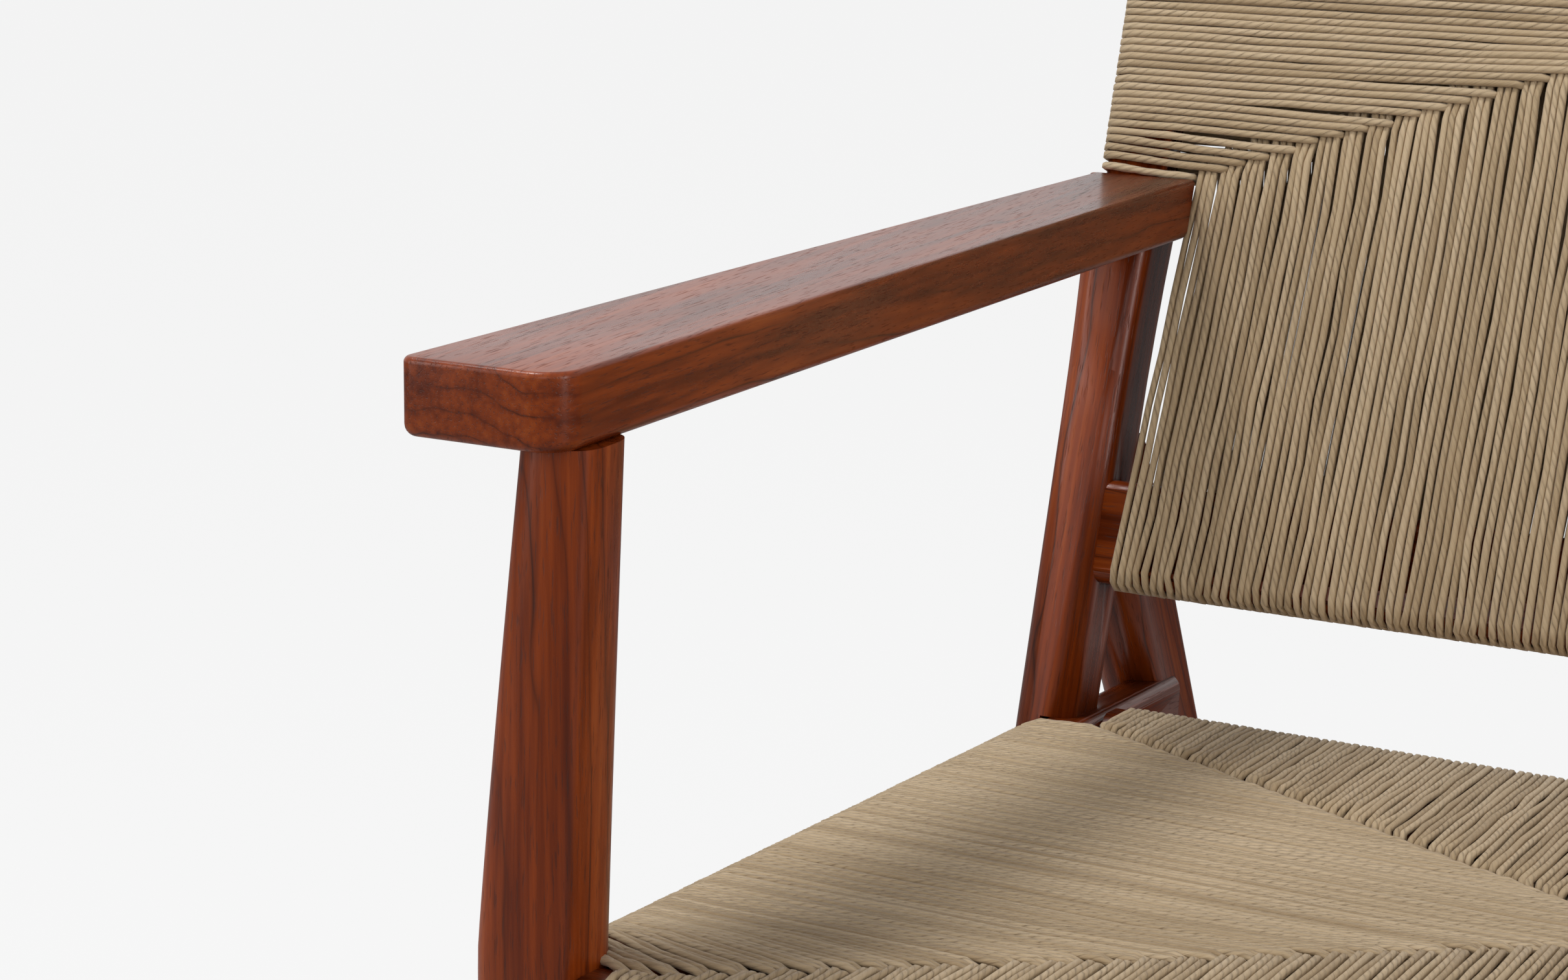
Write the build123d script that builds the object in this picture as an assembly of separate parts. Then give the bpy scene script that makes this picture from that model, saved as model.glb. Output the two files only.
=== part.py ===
from build123d import *
import os
from math import cos, radians, sin

# A low lounge armchair in hardwood with a seat and back woven from twisted paper cord.
# The origin is on the floor under the middle of the chair. +Z is up, the sitter faces -Y,
# and the sitter's left is +X. All sizes are in millimetres.

# ---------------------------------------------------------------- driving dimensions
overall_width = 710.0            # across the armrests' outer faces at the front
overall_depth = 770.0            # from the armrests' front ends to the back of the rear feet
overall_height = 730.0           # top of the back posts

armrest_height = 550.0           # top face of the armrests
armrest_thickness = 25.5
armrest_length = 518.0
armrest_front_width = 59.0
armrest_rear_width = 48.0
armrest_convergence = 23.0       # how far the outer edge runs in towards the back
armrest_inner_corner = 13.0      # plan radius of the front inner corner
armrest_outer_corner = 5.0
armrest_top_edge = 2.0
armrest_bottom_edge = 4.0

seat_height = 355.0              # top of the cord over the front rail
seat_slope = 4.6                 # degrees, down towards the back
rear_rail_setback = 15.0         # centre of the rear rail behind the back posts' centre lines
rail_width = 22.0                # side rails, across
rail_height = 36.0
cross_rail_width = 24.0          # front and rear rails, front to back
rail_edge = 7.0                  # rounding of the rails where the cord bends over them
side_rail_inset = 47.5           # centre of a side rail from the armrests' outer faces
front_rail_distance = 21.0       # centre of the front rail behind the armrests' front ends

cord_thickness = 3.0
cord_clearance = 0.3             # between the cord and the wood it wraps

front_leg_joint_width = 38.0     # at the seat rails, its thickest place
front_leg_top_width = 28.0
front_leg_top_depth = 31.0
front_leg_foot_width = 27.0
front_leg_top_inset = 48.0       # leg centre from the armrests' outer faces
front_leg_joint_inset = 38.5
front_leg_foot_inset = 36.0
front_leg_distance = 23.0        # leg centre behind the armrests' front ends
front_leg_top_setback = 2.5      # the top's centre is this much further back
front_leg_corner = 11.0
front_leg_even = 4.0             # how far its even middle reaches above and below the rails
front_leg_taper = 1.5            # power of the easing from there to the ends

back_lean = 17.3                 # degrees from upright
post_depth = 38.0
post_foot_width = 27.0
post_waist_width = 28.5
post_arm_width = 36.0
post_flare_length = 110.0        # the post flares over this length below the armrest's top
post_inset = 37.0                # post centre from the armrests' outer faces
post_corner = 8.0
wrapped_post_width = 28.0        # above the armrests, where the cord goes round it
wrapped_post_depth = 24.0
wrapped_post_corner = 6.0
wrapped_post_inset = 40.0
post_end_above_cord = 6.0

back_rail_thickness = 24.0
back_bottom_rail_height = 46.0
back_top_rail_height = 44.0
back_rail_edge = 6.0
back_panel_gap = 55.5            # from the cord on the rear seat rail up to the lower fold
back_panel_bottom_inset = 58.0   # the panel's lower corners from the armrests' outer faces

rear_leg_joint_rise = 86.5       # from the cord on the rear seat rail up to the leg's joint
rear_leg_width = 31.0
rear_leg_foot_depth = 33.0       # front to back, measured level
rear_leg_top_depth = 63.0
rear_leg_overrun = 60.0          # the blank's height above its joint, before the post's plane cuts it
rear_leg_inset = 39.0
rear_leg_corner = 10.0

leg_tenon_diameter = 18.0
leg_tenon_length = 17.0
tenon_thickness = 10.0
tenon_height = 24.0
tenon_length = 14.0
front_tenon_thickness = 9.0      # the front rail's, thinner to miss the side rail's
rear_tenon_length = 11.0         # the rear rail's, in the slimmer side rail
tenon_root = 6.0                 # how far a tenon starts inside its own rail
raked_tenon_root = 12.0          # the same where the shoulder is raked
joint_clearance = 0.15
mortise_end_gap = 1.0
dowel_diameter = 8.0
dowel_length = 34.0
foot_dowel_length = 20.0
rear_dowel_length = 26.0
rear_dowel_in_post = 9.0         # the rest is in the rear leg
armrest_dowel_spacing = 15.0
rear_dowel_spacing = 24.0
foot_dowel_spacing = 13.0
glide_diameter = 18.0
glide_thickness = 3.0
glide_pin_diameter = 3.0
glide_pin_length = 12.0
tack_head_diameter = 5.0
tack_head_thickness = 1.0
tack_shank_width = 1.6
tack_shank_length = 10.0
tack_spacing_seat = 300.0
tack_spacing_back = 400.0
cord_gap_at_leg = 9.0            # bare wood left between the cord and the front legs
cord_gap_behind_leg = 5.0
cord_gap_before_post = 9.0
cord_gap_at_armrest = 2.0
cord_gap_above_armrest = 0.5

# ---------------------------------------------------------------- frames and levels
cord_cover = cord_thickness + cord_clearance
lean_cos = cos(radians(back_lean))
lean_sin = sin(radians(back_lean))
slope_cos = cos(radians(seat_slope))
slope_sin = sin(radians(seat_slope))
big = 2 * (overall_width + overall_depth)
half_width = overall_width / 2
side_rail_x = half_width - side_rail_inset
front_leg_top_x = half_width - front_leg_top_inset
front_leg_joint_x = half_width - front_leg_joint_inset
front_leg_foot_x = half_width - front_leg_foot_inset
post_x = half_width - post_inset
wrapped_post_x = half_width - wrapped_post_inset
rear_leg_x = half_width - rear_leg_inset


def from_front(distance):
    """Y of a point a given distance behind the armrests' front ends."""
    return distance - overall_depth / 2


# In the seat frame, x runs across, y runs back along the slope and z = 0 is the top of the cord.
seat_frame = Plane(
    origin=(0, from_front(front_rail_distance), seat_height),
    x_dir=(1, 0, 0),
    z_dir=(0, slope_sin, slope_cos),
)
# In the back frame, y runs up along the lean and z = 0 is the front surface of the cord.
back_frame = Plane(
    origin=(0, from_front(armrest_length), armrest_height),
    x_dir=(1, 0, 0),
    z_dir=(0, -lean_cos, lean_sin),
)
rail_top = -cord_cover
rail_middle = rail_top - rail_height / 2
post_front = 0.0                 # the bare post's front face is level with the cord's surface
post_back = post_front - post_depth
wrapped_post_middle = -cord_cover - wrapped_post_depth / 2
post_top = (overall_height - armrest_height + cord_cover * lean_sin) / lean_cos
cord_top = post_top - post_end_above_cord
armrest_rear_inner_x = half_width - armrest_convergence - armrest_rear_width


def rail_crossing(first, second):
    """Distance back, in the seat frame, where a line through two points crosses the rails' middle level."""
    a, b = (seat_frame.to_local_coords(Vector(*point)) for point in (first, second))
    return a.Y + (b.Y - a.Y) * (rail_middle - a.Z) / (b.Z - a.Z)


def post_centre(up):
    """A point on a back post's centre line, in the side view, at a distance up the lean."""
    return back_frame.from_local_coords(Vector(0, up, post_front - post_depth / 2))


post_foot_y = rail_crossing(post_centre(0), post_centre(-armrest_height))
rear_rail_y = post_foot_y + rear_rail_setback
seat_rear_height = seat_height - rear_rail_y * slope_sin
rear_leg_joint_height = seat_rear_height + rear_leg_joint_rise
back_panel_drop = (armrest_height - seat_rear_height - back_panel_gap) / lean_cos


def block(low, high):
    """An axis-aligned box from its lowest to its highest corner."""
    size = [b - a for a, b in zip(low, high)]
    middle = [(a + b) / 2 for a, b in zip(low, high)]
    return Pos(*middle) * Box(*size)


def soft_square(width, depth, radius):
    """A rectangle whose corners are rounded, short of meeting each other."""
    return RectangleRounded(width, depth, min(radius, 0.45 * min(width, depth)))


def cross_bar(length, width, height, edge):
    """A rail along X, centred, with its four long edges rounded."""
    return Rot(0, 90, 0) * extrude(soft_square(height, width, edge), length / 2, both=True)


def long_bar(start, end, width, height, edge):
    """A rail along Y from start to end, centred on the Y axis."""
    return Pos(0, start, 0) * Rot(-90, 0, 0) * extrude(soft_square(width, height, edge), end - start)


def pair(maker, name):
    """Writes a piece for the sitter's left (+X) and its mirror image for the right."""
    left = maker()
    save(left, name + "_left")
    save(mirror(left, Plane.YZ), name + "_right")


def save(shape, name):
    solids = shape.solids()
    export_step(solids[0] if len(solids) == 1 else Compound(children=list(solids)), f"parts/{name}.step")


def both_sides(shape):
    return Compound(children=list(shape.solids()) + list(mirror(shape, Plane.YZ).solids()))


# ---------------------------------------------------------------- front legs
def front_leg_end(start, end, end_x, end_width, end_depth, setback, steps):
    """The leg from its even middle to one of its ends, tapering faster towards the end."""
    sections = []
    for step in range(steps + 1):
        taper = (step / steps) ** front_leg_taper
        width = front_leg_joint_width + taper * (end_width - front_leg_joint_width)
        depth = front_leg_joint_width + taper * (end_depth - front_leg_joint_width)
        x = front_leg_joint_x + taper * (end_x - front_leg_joint_x)
        height = start + step / steps * (end - start)
        sections.append(Pos(x, from_front(front_leg_distance + taper * setback), height)
                        * soft_square(width, depth, front_leg_corner))
    return loft(sections, ruled=True)


def front_leg_blank():
    """Even at the seat rails, its thickest place, and tapered to the armrest and to the floor."""
    joint = seat_height - cord_cover - rail_height / 2
    low, high = joint - rail_height / 2 - front_leg_even, joint + rail_height / 2 + front_leg_even
    section = soft_square(front_leg_joint_width, front_leg_joint_width, front_leg_corner)
    middle = extrude(Pos(front_leg_joint_x, from_front(front_leg_distance), low) * section, high - low)
    upper = front_leg_end(high, armrest_height - armrest_thickness, front_leg_top_x,
                          front_leg_top_width, front_leg_top_depth, front_leg_top_setback, 3)
    lower = front_leg_end(low, glide_thickness, front_leg_foot_x,
                          front_leg_foot_width, front_leg_foot_width, 0, 4)
    return middle + upper + lower


def leg_tenon(clearance=0.0, end_gap=0.0):
    underside = armrest_height - armrest_thickness
    spot = Pos(front_leg_top_x, from_front(front_leg_distance + front_leg_top_setback), underside - tenon_root)
    radius = leg_tenon_diameter / 2 + clearance
    length = leg_tenon_length + tenon_root + end_gap
    return spot * Cylinder(radius, length, align=(Align.CENTER, Align.CENTER, Align.MIN))


def glide_pin_hole(x, distance):
    hole = Cylinder(glide_pin_diameter / 2 + joint_clearance / 2, glide_pin_length + mortise_end_gap,
                    align=(Align.CENTER, Align.CENTER, Align.MIN))
    return Pos(x, from_front(distance), glide_thickness) * hole


def side_tenon_front(clearance=0.0, end_gap=0.0):
    """The side rail's tongue in the front leg."""
    rear_face = front_leg_joint_width / 2 + front_leg_distance - front_rail_distance
    return seat_frame * block(
        (side_rail_x - tenon_thickness / 2 - clearance, rear_face - tenon_length - end_gap,
         rail_middle - tenon_height / 2 - clearance),
        (side_rail_x + tenon_thickness / 2 + clearance, rear_face + tenon_root,
         rail_middle + tenon_height / 2 + clearance))


def front_tenon(clearance=0.0, end_gap=0.0):
    """The front rail's tongue in the front leg, set forward to miss the side rail's."""
    inner_face = front_leg_joint_x - front_leg_joint_width / 2
    return seat_frame * block(
        (inner_face - tenon_root, -front_tenon_thickness - clearance,
         rail_middle - tenon_height / 2 - clearance),
        (inner_face + tenon_length + end_gap, clearance,
         rail_middle + tenon_height / 2 + clearance))


def front_leg():
    leg = front_leg_blank() + leg_tenon()
    leg -= side_tenon_front(joint_clearance, mortise_end_gap)
    leg -= front_tenon(joint_clearance, mortise_end_gap)
    return leg - glide_pin_hole(front_leg_foot_x, front_leg_distance)


# ---------------------------------------------------------------- back posts
def rounded_bar(outline, thickness, corner):
    """A closed outline given its thickness, with the long edges rounded all the way round it."""
    bar = extrude(outline, thickness / 2, both=True)
    long_edges = ShapeList(edge for edge in bar.edges() if edge.length > 2 * thickness)
    return fillet(long_edges, corner)


def back_post_blank():
    """Bare wood that flares up to the armrest, and a slimmer shouldered stretch above it for the cord."""
    foot = -(armrest_height - seat_rear_height + 2 * rail_height) / lean_cos
    left = Line((-post_foot_width / 2, foot), (-post_waist_width / 2, -post_flare_length))
    left_flare = TangentArc(left @ 1, (-post_arm_width / 2, 0), tangent=left % 1)
    right = Line((post_foot_width / 2, foot), (post_waist_width / 2, -post_flare_length))
    right_flare = TangentArc(right @ 1, (post_arm_width / 2, 0), tangent=right % 1)
    ends = [Line(left @ 0, right @ 0), Line(left_flare @ 1, right_flare @ 1)]
    outline = make_face(Curve() + [left, left_flare, right, right_flare] + ends)
    lower = Pos(post_x, 0, post_front - post_depth / 2) * rounded_bar(outline, post_depth, post_corner)
    upper_length = post_top + tenon_root
    upper = Pos(wrapped_post_x, -tenon_root, wrapped_post_middle) * Rot(-90, 0, 0) * extrude(
        soft_square(wrapped_post_width, wrapped_post_depth, wrapped_post_corner), upper_length)
    return back_frame * (lower + upper)


def back_rail_tenon(top_rail, clearance=0.0, end_gap=0.0):
    inner = (wrapped_post_x - wrapped_post_width / 2) if top_rail else (post_x - post_arm_width / 2)
    middle = top_rail_middle if top_rail else bottom_rail_middle
    return back_frame * block(
        (inner - tenon_root, middle - tenon_height / 2 - clearance,
         wrapped_post_middle - tenon_thickness / 2 - clearance),
        (inner + tenon_length + end_gap, middle + tenon_height / 2 + clearance,
         wrapped_post_middle + tenon_thickness / 2 + clearance))


def back_post():
    post = back_post_blank()
    below_rail = rail_top - rail_height
    post -= seat_frame * block((0, -big, -big), (big, big, below_rail))
    inner_notch = side_rail_x - rail_width / 2 - post_foot_width
    outer_notch = side_rail_x + rail_width / 2 + joint_clearance
    post -= seat_frame * block((inner_notch, 0, below_rail - 1), (outer_notch, big, rail_top))
    for top_rail in (True, False):
        post -= back_rail_tenon(top_rail, joint_clearance, mortise_end_gap)
    for spot in armrest_dowel_spots():
        post -= spot * dowel_hole(dowel_length)
    for spot in rear_leg_dowel_spots():
        post -= spot * dowel(rear_dowel_length, joint_clearance)
    for spot in post_foot_dowel_spots():
        post -= spot * dowel_hole(foot_dowel_length)
    return max(post.solids(), key=lambda solid: solid.volume)


# ---------------------------------------------------------------- dowels
def dowel(length, clearance=0.0):
    return Cylinder(dowel_diameter / 2 + clearance, length)


def dowel_hole(length):
    return dowel(length + 2 * mortise_end_gap, joint_clearance)


def armrest_dowel_spots():
    """Two level dowels from the armrest's end into the back post."""
    middle = armrest_height - armrest_thickness / 2
    y = from_front(armrest_length) - (armrest_height - middle) * lean_sin / lean_cos
    half = armrest_dowel_spacing / 2
    return [Pos(post_x + offset, y, middle) * Rot(90, 0, 0) for offset in (-half, half)]


def rear_leg_dowel_spots():
    """Two dowels square to the back post's rear face, one above the other."""
    up = (rear_leg_joint_height - armrest_height) / lean_cos
    half = rear_dowel_spacing / 2
    middle = post_back + rear_dowel_in_post - rear_dowel_length / 2
    return [back_frame * Pos(post_x, up + offset, middle) for offset in (-half, half)]


def post_foot_dowel_spots():
    """Two short dowels from the post's outer cheek into the side rail."""
    rail_outer = side_rail_x + rail_width / 2
    half = foot_dowel_spacing / 2
    return [seat_frame * Pos(rail_outer - mortise_end_gap, post_foot_y + offset, rail_middle - offset / 2)
            * Rot(0, 90, 0) for offset in (-half, half)]


# ---------------------------------------------------------------- armrests
def armrest():
    outer = half_width
    beyond = armrest_length + armrest_thickness
    drift = armrest_convergence / armrest_length
    narrowing = (armrest_front_width - armrest_rear_width) / armrest_length
    corners = [
        (outer - armrest_front_width, 0),
        (outer, 0),
        (outer - drift * beyond, beyond),
        (outer - drift * beyond - armrest_front_width + narrowing * beyond, beyond),
    ]
    plan = make_face(Polyline(*corners, close=True))
    plan = fillet(plan.vertices().sort_by(Axis.Y)[:2].sort_by(Axis.X)[0], armrest_inner_corner)
    plan = fillet(plan.vertices().group_by(Axis.Y)[0].sort_by(Axis.X)[-1], armrest_outer_corner)
    board = Pos(0, from_front(0), armrest_height - armrest_thickness) * extrude(plan, armrest_thickness)
    board = fillet(eased_edges(board, armrest_height), armrest_top_edge)
    board = fillet(eased_edges(board, armrest_height - armrest_thickness), armrest_bottom_edge)
    board -= back_frame * block((0, -big, -big), (big, big, post_front))
    board -= leg_tenon(joint_clearance, mortise_end_gap)
    for spot in armrest_dowel_spots():
        board -= spot * dowel_hole(dowel_length)
    return board


def eased_edges(board, level):
    """The edges of the top or bottom face, apart from the rear end's."""
    face = board.faces().filter_by(Axis.Z).sort_by(Axis.Z)[-1 if level == armrest_height else 0]
    return ShapeList(edge for edge in face.edges()
                     if edge.center().Y < from_front(armrest_length))


# ---------------------------------------------------------------- rear legs
def rear_leg_line():
    """The leg's centre line as its Y at the foot and its rake, in Y per unit of height."""
    foot_y = overall_depth / 2 - rear_leg_foot_depth / 2
    up = (rear_leg_joint_height - armrest_height) / lean_cos
    top_y = back_frame.from_local_coords(Vector(0, up, post_back)).Y
    return foot_y, (top_y - foot_y) / (rear_leg_joint_height - glide_thickness)


def rear_leg_side_view():
    """The blank's front foot corner, then round by the rear, as (Y, Z)."""
    foot_y, rake = rear_leg_line()
    top = rear_leg_joint_height + rear_leg_overrun
    top_y = foot_y + rake * (top - glide_thickness)
    return [
        (foot_y - rear_leg_foot_depth / 2, glide_thickness),
        (foot_y + rear_leg_foot_depth / 2, glide_thickness),
        (top_y + rear_leg_top_depth / 2, top),
        (top_y - rear_leg_top_depth / 2, top),
    ]


def rear_leg_blank():
    """Raked back from the post to the floor, tapering to the foot in side view."""
    outline = make_face(Polyline(*rear_leg_side_view(), close=True))
    side_view = Plane(origin=(rear_leg_x, 0, 0), x_dir=(0, 1, 0), z_dir=(1, 0, 0))
    return side_view * rounded_bar(outline, rear_leg_width, rear_leg_corner)


def side_tenon_rear(clearance=0.0, end_gap=0.0):
    """The side rail's tongue in the rear leg."""
    end = side_rail_end()
    return seat_frame * block(
        (side_rail_x - tenon_thickness / 2 - clearance, end - raked_tenon_root,
         rail_middle - tenon_height / 2 - clearance),
        (side_rail_x + tenon_thickness / 2 + clearance, end + tenon_length + end_gap,
         rail_middle + tenon_height / 2 + clearance))


def side_rail_end():
    """Where the rear leg's front face crosses the middle of the side rail, in the seat frame."""
    corners = rear_leg_side_view()
    return rail_crossing((0, *corners[0]), (0, *corners[-1]))


def rear_leg():
    leg = rear_leg_blank()
    leg -= back_frame * block((0, -big, post_back), (big, big, big))
    leg -= side_tenon_rear(joint_clearance, mortise_end_gap)
    for spot in rear_leg_dowel_spots():
        leg -= spot * dowel_hole(rear_dowel_length)
    leg -= glide_pin_hole(rear_leg_x, overall_depth - rear_leg_foot_depth / 2)
    return leg


# ---------------------------------------------------------------- seat rails
def seat_side_rail():
    behind_corner = front_leg_joint_width / 2 - front_leg_corner + front_leg_distance - front_rail_distance
    front = max(behind_corner, cross_rail_width / 2 + joint_clearance)
    rail = seat_frame * Pos(side_rail_x, 0, rail_middle) * long_bar(
        front, side_rail_end() + raked_tenon_root, rail_width, rail_height, rail_edge)
    rail = rail - front_leg_blank() - rear_leg_blank()
    rail = max(rail.solids(), key=lambda solid: solid.volume)
    rail = rail + side_tenon_front() + side_tenon_rear()
    rail -= rear_rail_tenon(joint_clearance, mortise_end_gap)
    for spot in post_foot_dowel_spots():
        rail -= spot * dowel_hole(foot_dowel_length)
    for spot in seat_tack_spots():
        rail -= spot * tack_hole()
    return rail


def rear_rail_tenon(clearance=0.0, end_gap=0.0):
    inner = side_rail_x - rail_width / 2
    return seat_frame * block(
        (inner - tenon_root, rear_rail_y - tenon_thickness / 2 - clearance,
         rail_middle - tenon_height / 2 - clearance),
        (inner + rear_tenon_length + end_gap, rear_rail_y + tenon_thickness / 2 + clearance,
         rail_middle + tenon_height / 2 + clearance))


def seat_front_rail():
    inner_face = front_leg_joint_x - front_leg_joint_width / 2 + front_leg_corner
    rail = seat_frame * Pos(0, 0, rail_middle) * cross_bar(2 * inner_face, cross_rail_width, rail_height, rail_edge)
    for cutter in both_sides(front_leg_blank()).solids():
        rail -= cutter
    rail = max(rail.solids(), key=lambda solid: solid.volume)
    for tongue in both_sides(front_tenon()).solids():
        rail += tongue
    return rail


def seat_rear_rail():
    length = 2 * (side_rail_x - rail_width / 2)
    rail = seat_frame * Pos(0, rear_rail_y, rail_middle) * cross_bar(
        length, cross_rail_width, rail_height, rail_edge)
    for tongue in both_sides(rear_rail_tenon()).solids():
        rail += tongue
    return rail


# ---------------------------------------------------------------- back rails
top_rail_middle = cord_top - cord_cover - back_top_rail_height / 2
bottom_rail_middle = -back_panel_drop + cord_cover + back_bottom_rail_height / 2


def back_rail(top_rail):
    height = back_top_rail_height if top_rail else back_bottom_rail_height
    middle = top_rail_middle if top_rail else bottom_rail_middle
    reach = wrapped_post_x if top_rail else post_x
    rail = back_frame * Pos(0, middle, -cord_cover - back_rail_thickness / 2) * cross_bar(
        2 * reach, height, back_rail_thickness, back_rail_edge)
    for cutter in both_sides(back_post_blank()).solids():
        rail -= cutter
    rail = max(rail.solids(), key=lambda solid: solid.volume)
    for tongue in both_sides(back_rail_tenon(top_rail)).solids():
        rail += tongue
    if top_rail:
        for spot in back_tack_spots():
            rail -= spot * tack_hole()
    return rail


# ---------------------------------------------------------------- woven cord
def woven_seat():
    """Cord round all four rails: an upper and a lower layer joined over the rails' outer faces."""
    outer_x = side_rail_x + rail_width / 2 + cord_cover
    inner_x = front_leg_joint_x - front_leg_joint_width / 2 - cord_gap_at_leg
    front = -cross_rail_width / 2 - cord_cover
    behind_leg = front_leg_joint_width / 2 + front_leg_distance - front_rail_distance + cord_gap_behind_leg
    post_lean_in = rail_height / 2 * lean_sin / lean_cos
    before_post = post_foot_y - post_depth / 2 - post_lean_in - cord_gap_before_post
    rear = rear_rail_y + cross_rail_width / 2 + cord_cover
    half = [(inner_x, front), (inner_x, behind_leg), (outer_x, behind_leg),
            (outer_x, before_post), (inner_x, before_post), (inner_x, rear)]
    outline = half + [(-x, y) for x, y in reversed(half)]
    thickness = rail_height + 2 * cord_cover
    sleeve = Pos(0, 0, -thickness) * extrude(make_face(Polyline(*outline, close=True)), thickness)
    hollow_x = outer_x - cord_thickness
    hollow = block((-hollow_x, front + cord_thickness, -thickness + cord_thickness),
                   (hollow_x, rear - cord_thickness, -cord_thickness))
    return seat_frame * (sleeve - hollow)


def woven_back():
    """Cord round the posts above the armrests and round both rails between them."""
    outer_x = wrapped_post_x + wrapped_post_width / 2 + cord_cover
    top_x = armrest_rear_inner_x - cord_gap_at_armrest
    half = [(half_width - back_panel_bottom_inset, -back_panel_drop), (top_x, cord_gap_above_armrest),
            (outer_x, cord_gap_above_armrest), (outer_x, cord_top)]
    outline = half + [(-x, y) for x, y in reversed(half)]
    thickness = back_rail_thickness + 2 * cord_cover
    sleeve = Pos(0, 0, -thickness) * extrude(make_face(Polyline(*outline, close=True)), thickness)
    hollow_x = outer_x - cord_thickness
    sleeve -= block((-hollow_x, -back_panel_drop + cord_thickness, -thickness + cord_thickness),
                    (hollow_x, cord_top - cord_thickness, -cord_thickness))
    post_inner = wrapped_post_x - wrapped_post_width / 2 - cord_clearance
    for side in (-1, 1):
        low, high = sorted((side * post_inner, side * hollow_x))
        sleeve -= block((low, 0, -thickness + cord_thickness), (high, big, -cord_thickness))
    return back_frame * sleeve


# ---------------------------------------------------------------- small hardware
def foot_glides():
    spots = [(front_leg_foot_x, front_leg_distance),
             (rear_leg_x, overall_depth - rear_leg_foot_depth / 2)]
    align = (Align.CENTER, Align.CENTER, Align.MIN)
    glide = Cylinder(glide_diameter / 2, glide_thickness, align=align)
    glide += Cylinder(glide_pin_diameter / 2, glide_thickness + glide_pin_length, align=align)
    half = [Pos(x, from_front(distance), 0) * glide for x, distance in spots]
    return both_sides(Compound(children=half))


def tack():
    """A flat-headed cut tack pointing down its own -Z, with its head's underside at z = 0."""
    head = Cylinder(tack_head_diameter / 2, tack_head_thickness, align=(Align.CENTER, Align.CENTER, Align.MIN))
    return head + tack_hole()


def tack_hole():
    return Box(tack_shank_width, tack_shank_width, tack_shank_length, align=(Align.CENTER, Align.CENTER, Align.MAX))


def seat_tack_spots():
    """Where each run of cord is fixed, on the inner face of a side rail."""
    inner = side_rail_x - rail_width / 2
    half = tack_spacing_seat / 2
    return [seat_frame * Pos(inner, rear_rail_y / 2 + offset, rail_middle) * Rot(0, -90, 0)
            for offset in (-half, half)]


def back_tack_spots():
    """On the top rail's underside."""
    underside = top_rail_middle - back_top_rail_height / 2
    half = tack_spacing_back / 2
    return [back_frame * Pos(across, underside, wrapped_post_middle) * Rot(90, 0, 0) for across in (-half, half)]


def cord_tacks():
    seat = both_sides(Compound(children=[spot * tack() for spot in seat_tack_spots()]))
    back = [spot * tack() for spot in back_tack_spots()]
    return Compound(children=list(seat.solids()) + back)


def dowels(spots, length):
    return both_sides(Compound(children=[spot * dowel(length) for spot in spots]))


# ---------------------------------------------------------------- the chair
os.makedirs("parts", exist_ok=True)
pair(front_leg, "front_leg")
pair(rear_leg, "rear_leg")
pair(back_post, "back_post")
pair(armrest, "armrest")
pair(seat_side_rail, "seat_side_rail")
save(seat_front_rail(), "seat_front_rail")
save(seat_rear_rail(), "seat_rear_rail")
save(back_rail(True), "back_top_rail")
save(back_rail(False), "back_bottom_rail")
save(woven_seat(), "woven_seat")
save(woven_back(), "woven_back")
save(dowels(armrest_dowel_spots(), dowel_length), "armrest_dowels")
save(dowels(rear_leg_dowel_spots(), rear_dowel_length), "rear_leg_dowels")
save(dowels(post_foot_dowel_spots(), foot_dowel_length), "post_foot_dowels")
save(foot_glides(), "foot_glides")
save(cord_tacks(), "cord_tacks")
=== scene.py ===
import math
import bmesh
import bpy
import numpy as np
from mathutils import Matrix, Vector


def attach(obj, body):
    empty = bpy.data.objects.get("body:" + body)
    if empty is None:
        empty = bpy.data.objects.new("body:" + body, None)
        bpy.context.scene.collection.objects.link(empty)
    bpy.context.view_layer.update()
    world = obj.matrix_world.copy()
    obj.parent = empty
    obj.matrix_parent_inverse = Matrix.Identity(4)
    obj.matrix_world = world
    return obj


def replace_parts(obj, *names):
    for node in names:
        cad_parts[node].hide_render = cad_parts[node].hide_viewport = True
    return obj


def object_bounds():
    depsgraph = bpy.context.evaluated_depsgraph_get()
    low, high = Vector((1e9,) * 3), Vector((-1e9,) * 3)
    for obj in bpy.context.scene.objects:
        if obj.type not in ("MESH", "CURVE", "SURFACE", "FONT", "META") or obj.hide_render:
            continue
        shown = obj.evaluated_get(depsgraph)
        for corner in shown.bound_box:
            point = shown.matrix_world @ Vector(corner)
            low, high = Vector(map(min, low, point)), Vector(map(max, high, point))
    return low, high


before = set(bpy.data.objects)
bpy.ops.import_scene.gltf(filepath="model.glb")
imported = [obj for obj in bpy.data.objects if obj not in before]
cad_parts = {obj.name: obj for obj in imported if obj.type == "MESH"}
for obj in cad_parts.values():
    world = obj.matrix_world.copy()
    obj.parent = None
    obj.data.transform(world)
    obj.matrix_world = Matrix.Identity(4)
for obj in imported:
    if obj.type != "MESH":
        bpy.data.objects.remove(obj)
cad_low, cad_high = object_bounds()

# A low lounge armchair: an oiled hardwood frame, its seat and back woven from twisted paper cord.
# Metres, +Z up, the sitter faces -Y and the sitter's left is +X.

# ---------------------------------------------------------------- front legs
# Two shaped legs sawn from hardwood. Each swells to the seat rails, which are tenoned
# into it, and tapers to the floor and to the round tenon that holds the armrest.


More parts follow.
